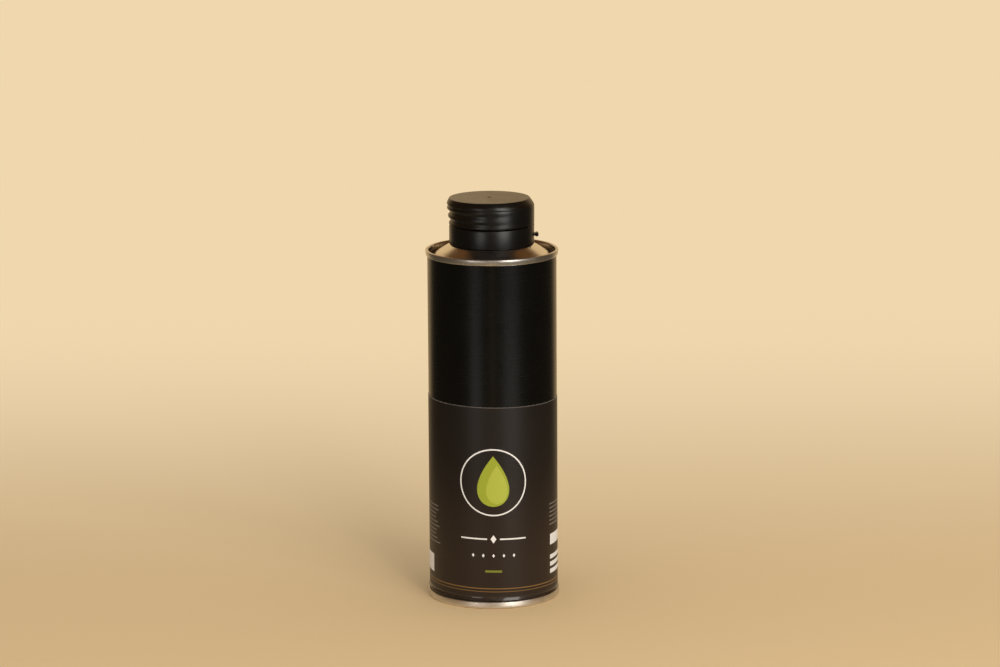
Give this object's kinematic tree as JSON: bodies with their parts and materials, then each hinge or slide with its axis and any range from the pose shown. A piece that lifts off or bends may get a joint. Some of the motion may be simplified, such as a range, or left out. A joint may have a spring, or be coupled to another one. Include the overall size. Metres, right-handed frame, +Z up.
{
  "type": "olive oil tin with flip-top spout",
  "caption": "Slim round tinplate oil tin with double-seamed ends, a shouldered top, a wrap-round label and a hinged flip lid over a pouring spout.",
  "frame": {"origin": "middle of the circle that the foot stands on", "axes": "+Z up the tin, -Y out of the front of the label, +X towards the lid's hinge"},
  "size_m": [0.0538, 0.0538, 0.1646],
  "materials": {
    "black_lacquer": "glossy black lacquer on tinplate",
    "tinplate": "bare bright tinplate",
    "sealing_compound": "dull cured compound",
    "label_paper": "satin print on paper, almost black",
    "black_plastic": "satin moulded polypropylene",
    "gasket_rubber": "dull soft ring",
    "spout_plastic": "natural milky polyethylene",
    "pin_steel": "blackened wire",
    "seal_plastic": "natural soft polyethylene"
  },
  "bodies": {
    "tin": {"can_body": "black_lacquer", "bottom_end": "tinplate", "bottom_seam_compound": "sealing_compound", "top_cone": "tinplate", "top_seam_compound": "sealing_compound", "wrap_label": "label_paper", "closure_collar": "black_plastic", "neck_gasket": "gasket_rubber", "pour_spout": "spout_plastic", "hinge_pin": "pin_steel"},
    "lid": {"flip_lid": "black_plastic", "lid_seal": "seal_plastic"}
  },
  "joints": [
    {"name": "lid_hinge", "type": "hinge", "parent": "tin", "child": "lid", "pos_m": [0.01818, 0, 0.14951], "axis": [0, 1, 0], "range_deg": [0, 120]}
  ]
}
